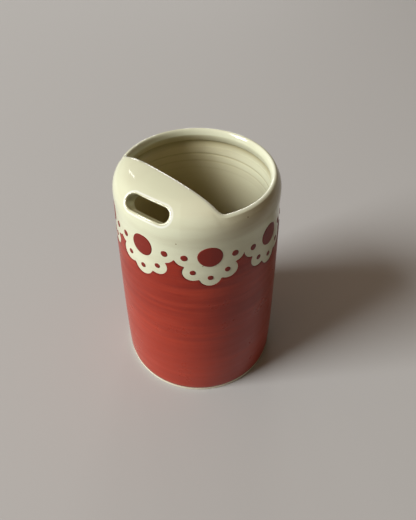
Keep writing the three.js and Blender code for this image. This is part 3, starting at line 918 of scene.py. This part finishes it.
def slip_dot(label, azimuth, eyelet, chance, material):
    """A dot of slip: rings round its middle on the face, and one fan fused into the clay."""
    turns = 2 * np.pi * np.arange(DOT_SIDES) / DOT_SIDES
    outline = dot_outline(turns, eyelet["radius"], chance)
    middle = azimuth + eyelet["turn"]
    height = eyelet_height(eyelet, azimuth)
    depths = [share * SLIP_EDGE for share in DOT_RINGS]
    rings = [outline - depth for depth in depths if depth < DOT_RING_LIMIT * eyelet["radius"]]
    rings = np.array(rings + [rings[-1] / 2])
    depth = outline - rings
    along = middle + rings * np.cos(turns) / LACE_RADIUS
    points = on_wall(along, height + rings * np.sin(turns), slip_lift(depth))
    poles = on_wall(middle, height, np.array((SLIP_LIFT, -SLIP_SINK)))
    front_pole = rings.size
    back_pole = front_pole + 1
    last = front_pole - DOT_SIDES
    faces = []
    for step in range(DOT_SIDES):
        beside = (step + 1) % DOT_SIDES
        for here in range(0, last, DOT_SIDES):
            on = here + DOT_SIDES
            faces.append((here + step, here + beside, on + beside, on + step))
        faces.append((last + step, last + beside, front_pole))
        faces.append((beside, step, back_pole))
    traits = {
        "edge": np.append(np.exp(-depth / SLIP_EDGE), (0, 0)),
        "middle": np.append(np.minimum(depth / SLIP_EDGE, 1), (1, 1)),
    }
    points = np.concatenate([points.reshape(-1, 3), poles])
    make_piece(f"slip_dot_{label}", points, faces, traits, material, [f"eyelet_{label}"])


def slip_dots(material):
    chance = random.Random(DOT_SEED)
    for repeat in range(LACE_REPEATS):
        for name, eyelet in EYELETS.items():
            slip_dot(f"{repeat + 1}_{name}", repeat_azimuth(repeat), eyelet, chance, material)


# Shader nodes

MIX_SHARE = 0  # the Mix node's sockets when it blends colours
MIX_FIRST = 6
MIX_SECOND = 7
MIX_RESULT = 2
NOISE_DETAIL = 3.0


def linear(red, green, blue):
    """A colour given in 0 to 255 screen values, as the shader takes it."""
    screen = np.array((red, green, blue)) / 255
    light = np.where(screen <= 0.04045, screen / 12.92, ((screen + 0.055) / 1.055) ** 2.4)
    return (*light.tolist(), 1.0)


def add_node(tree, kind, inputs=None, **settings):
    """A node with its settings, and its inputs set to values or linked to other nodes' outputs."""
    made = tree.nodes.new(kind)
    for name, value in settings.items():
        setattr(made, name, value)
    for key, value in (inputs or {}).items():
        if isinstance(value, bpy.types.NodeSocket):
            tree.links.new(value, made.inputs[key])
        else:
            made.inputs[key].default_value = value
    return made


def new_material(name):
    material = bpy.data.materials.new(name)
    material.use_nodes = True
    tree = material.node_tree
    return material, tree, tree.nodes["Principled BSDF"]


def object_places(tree, stretch=(1, 1, 1)):
    place = add_node(tree, "ShaderNodeTexCoord").outputs["Object"]
    return add_node(tree, "ShaderNodeMapping", {"Vector": place, "Scale": stretch}).outputs["Vector"]


def noise(tree, scale, squeeze=1):
    """Noise in the cup's own places, squeezed by so much along the cup's axis."""
    inputs = {"Vector": object_places(tree, (1, 1, squeeze)), "Scale": scale, "Detail": NOISE_DETAIL}
    return add_node(tree, "ShaderNodeTexNoise", inputs).outputs["Fac"]


def spread(tree, value, low, high, start=0.0, end=1.0):
    """A value from low to high, spread from start to end."""
    inputs = {"Value": value, "From Min": low, "From Max": high, "To Min": start, "To Max": end}
    return add_node(tree, "ShaderNodeMapRange", inputs, clamp=True).outputs["Result"]


def patchy(tree, scale, squeeze=1, low=0.3, high=0.7, start=0.0, end=1.0):
    """Noise from low to high, spread from start to end."""
    return spread(tree, noise(tree, scale, squeeze), low, high, start, end)


def blend_colours(tree, share, first, second):
    inputs = {MIX_SHARE: share, MIX_FIRST: first, MIX_SECOND: second}
    return add_node(tree, "ShaderNodeMix", inputs, data_type="RGBA").outputs[MIX_RESULT]


def layered(tree, colour, layers):
    """A colour with others, given in screen values, laid over it, each by its share."""
    for share, screen in layers:
        colour = blend_colours(tree, share, colour, linear(*screen))
    return colour


def math_node(tree, operation, first, second):
    made = add_node(tree, "ShaderNodeMath", {0: first, 1: second}, operation=operation)
    return made.outputs["Value"]


def times(tree, first, second):
    return math_node(tree, "MULTIPLY", first, second)


def trait(tree, name, full=1.0):
    """A trait of the mesh's points, times what it comes to in full."""
    value = add_node(tree, "ShaderNodeAttribute", attribute_name=name).outputs["Fac"]
    return times(tree, value, full)


# Materials

GLAZE_IOR = 1.5
SWELL_DEPTH = 0.0008  # in metres, as other lengths in the shaders are
BARE_ROUGHNESS = 0.75
RED_SPECULAR = 0.3
RED_BOUNCE_TOP = 0.08  # painted light bounced up from the floor: the coat is drawn brighter from here down
RED_BOUNCE_BOTTOM = 0.02  # to here


def dress(tree, shader, colour, roughness, swell_scale, swell_strength):
    """Colour, roughness and the glaze's slight swell, on a glazed material's shader."""
    height = noise(tree, swell_scale)
    inputs = {"Height": height, "Strength": swell_strength, "Distance": SWELL_DEPTH}
    swell = add_node(tree, "ShaderNodeBump", inputs)
    tree.links.new(colour, shader.inputs["Base Color"])
    tree.links.new(roughness, shader.inputs["Roughness"])
    tree.links.new(swell.outputs["Normal"], shader.inputs["Normal"])
    shader.inputs["IOR"].default_value = GLAZE_IOR


def cream_glaze():
    material, tree, shader = new_material("cream_glaze")
    clouds = patchy(tree, scale=22)
    streaks = patchy(tree, scale=26, squeeze=6, low=0.45, high=0.75, end=0.4)
    shade_streaks = patchy(tree, scale=30, squeeze=5, high=0.6, start=0.3, end=0.9)
    side_shade = times(tree, trait(tree, "side_shade"), shade_streaks)
    deep = trait(tree, "deep")
    warm = trait(tree, "warm", full=0.7)
    cells = add_node(tree, "ShaderNodeTexVoronoi", {"Vector": object_places(tree), "Scale": 120.0})
    specks = spread(tree, cells.outputs["Distance"], low=0.03, high=0.045, start=1.0, end=0.0)
    ground = blend_colours(tree, clouds, linear(213, 214, 182), linear(221, 222, 193))
    glazed = layered(tree, ground, [
        (streaks, (190, 182, 150)),
        # painted shade in brownish streaks on the shoulder's side away from the light
        (side_shade, (184, 172, 138)),
        # painted shade deeper inside the cup and in the slot
        (deep, (213, 209, 177)),
        # painted warm shade on the inside's side away from the light
        (warm, (210, 184, 130)),
        # painted deeper shade where the deep and warm shade meet, which darkens the inside seen through
        # the slot
        (times(tree, deep, warm), (150, 132, 84)),
        # glaze gathered in the throwing rings, painted shade in the groove below the lip, and the slot's
        # rounding drawn darker
        (trait(tree, "pool_and_shade", full=0.65), (160, 146, 102)),
        # thin glaze with painted highlights on the lip, the cover's edge and round the slot
        (trait(tree, "thin"), (244, 245, 236)),
        (specks, (120, 92, 60)),
    ])
    bare = trait(tree, "bare")
    grain = patchy(tree, scale=900)
    clay = blend_colours(tree, grain, linear(218, 208, 182), linear(232, 224, 200))
    colour = blend_colours(tree, bare, glazed, clay)
    gloss = patchy(tree, scale=60, start=0.05, end=0.09)
    roughness = math_node(tree, "MAXIMUM", gloss, times(tree, bare, BARE_ROUGHNESS))
    dress(tree, shader, colour, roughness, swell_scale=110, swell_strength=0.03)
    return material


def red_slip():
    material, tree, shader = new_material("red_slip")
    bands = patchy(tree, scale=16, squeeze=7)
    lines = patchy(tree, scale=24, squeeze=22, low=0.4, end=0.5)
    strokes = patchy(tree, scale=26, squeeze=8, low=0.52, high=0.74, end=0.5)
    mottle = patchy(tree, scale=70, low=0.25, high=0.75, end=0.25)
    height = add_node(tree, "ShaderNodeSeparateXYZ", {0: object_places(tree)}).outputs["Z"]
    floor_bounce = spread(tree, height, low=RED_BOUNCE_TOP, high=RED_BOUNCE_BOTTOM, end=0.5)
    ground = blend_colours(tree, bands, linear(143, 39, 21), linear(166, 53, 30))
    colour = layered(tree, ground, [
        (lines, (122, 29, 17)),
        (strokes, (186, 66, 40)),
        (mottle, (134, 34, 20)),
        # painted light bounced up from the floor, on the coat's lower part
        (floor_bounce, (180, 58, 34)),
        (trait(tree, "edge", full=0.75), (96, 20, 14)),
        (trait(tree, "middle", full=0.8), (118, 30, 19)),
    ])
    roughness = patchy(tree, scale=80, start=0.26, end=0.36)
    dress(tree, shader, colour, roughness, swell_scale=130, swell_strength=0.1)
    shader.inputs["Specular IOR Level"].default_value = RED_SPECULAR
    return material


# Camera, light and floor, in the photo's own turn about the cup

FRAME_HEIGHT_PIXELS = 520
FOCAL_PIXELS = 440
SENSOR_SIZE = 36.0
CAMERA_PLACE = (5.016, -162.55, 230.26)
CAMERA_PITCH = 0.8028
CAMERA_ROLL = 0.00522
CAMERA_NEAR = 0.01  # in metres, as the floor and the lights are
PHOTO_TURN = math.radians(34.6)  # from the slot to the photo's front
FLOOR_REACH = 4.0
FLOOR_COLOUR = linear(178, 176, 171)
FLOOR_ROUGHNESS = 0.85
BACKDROP_COLOUR = linear(186, 183, 177)
ROOM_COLOUR = (1.0, 0.72, 0.5, 1.0)
ROOM_STRENGTH = 0.05
SKY = (0.975, 1.0, 1.04)
LAMP = (1.0, 0.69, 0.46)
WHITE = (1.0, 1.0, 1.0)


def add_camera():
    right = Vector((1, 0, 0))
    forward = Vector((0, math.cos(CAMERA_PITCH), -math.sin(CAMERA_PITCH)))
    up = right.cross(forward)
    turned_right = right * math.cos(CAMERA_ROLL) + up * math.sin(CAMERA_ROLL)
    turned_up = up * math.cos(CAMERA_ROLL) - right * math.sin(CAMERA_ROLL)
    axes = Matrix((turned_right, turned_up, -forward)).transposed().to_4x4()
    data = bpy.data.cameras.new("camera")
    data.sensor_width = SENSOR_SIZE
    data.lens = FOCAL_PIXELS * SENSOR_SIZE / FRAME_HEIGHT_PIXELS
    data.clip_start = CAMERA_NEAR
    camera = add_object("camera", data)
    place = Matrix.Translation(Vector(CAMERA_PLACE) * MM)
    camera.matrix_world = Matrix.Rotation(PHOTO_TURN, 4, "Z") @ place @ axes
    bpy.context.scene.camera = camera


def add_light(name, azimuth, elevation, distance, size, power, colour=WHITE):
    """A soft light that faces the cup, by its azimuth and elevation in degrees in the photo's turn."""
    turn = math.radians(azimuth) + PHOTO_TURN
    rise = math.radians(elevation)
    way = Vector((math.sin(turn) * math.cos(rise), -math.cos(turn) * math.cos(rise), math.sin(rise)))
    data = bpy.data.lights.new(name, "AREA")
    data.shape = "RECTANGLE"
    data.size, data.size_y = size
    data.energy = power
    data.color = colour
    light = add_object(name, data)
    target = Vector((0, 0, SHOULDER_HEIGHT / 2 * MM))
    light.location = target + way * distance
    light.rotation_mode = "QUATERNION"
    light.rotation_quaternion = way.to_track_quat("Z", "Y")


def add_floor():
    mesh = bpy.data.meshes.new("floor")
    corners = [(-1, -1, 0), (1, -1, 0), (1, 1, 0), (-1, 1, 0)]
    mesh.from_pydata((np.array(corners) * FLOOR_REACH).tolist(), [], [(0, 1, 2, 3)])
    material, _, shader = new_material("floor")
    shader.inputs["Base Color"].default_value = FLOOR_COLOUR
    shader.inputs["Roughness"].default_value = FLOOR_ROUGHNESS
    mesh.materials.append(material)
    floor = add_object("floor", mesh)


def add_room():
    """A dim warm room for the light, with a pale backdrop in sight beyond the floor."""
    world = bpy.data.worlds.new("room")
    bpy.context.scene.world = world
    world.use_nodes = True
    tree = world.node_tree
    room = tree.nodes["Background"]
    room.inputs["Color"].default_value = ROOM_COLOUR
    room.inputs["Strength"].default_value = ROOM_STRENGTH
    backdrop = add_node(tree, "ShaderNodeBackground", {"Color": BACKDROP_COLOUR, "Strength": 1.0})
    in_sight = add_node(tree, "ShaderNodeLightPath").outputs["Is Camera Ray"]
    sockets = {0: in_sight, 1: room.outputs["Background"], 2: backdrop.outputs["Background"]}
    both = add_node(tree, "ShaderNodeMixShader", sockets)
    tree.links.new(both.outputs["Shader"], tree.nodes["World Output"].inputs["Surface"])


add_camera()
add_light("window", azimuth=-71, elevation=33, distance=5.0, size=(2.0, 2.67), power=344, colour=SKY)
add_light("far_window", azimuth=177, elevation=14, distance=2.0, size=(0.5, 0.5), power=5.0)
add_light("door", azimuth=-165, elevation=15, distance=2.0, size=(0.25, 0.35), power=1.8)
add_light("slit", azimuth=-145, elevation=33, distance=2.0, size=(0.05, 0.3), power=0.3)
add_light("ceiling", azimuth=-75, elevation=75, distance=2.5, size=(2.5, 2.5), power=11.5, colour=LAMP)
add_room()
add_floor()
bpy.context.scene.view_settings.view_transform = "Standard"

cream = cream_glaze()
red = red_slip()
thrown_body(cream)
domed_top(cream)
red_coat(red)
slip_dots(red)
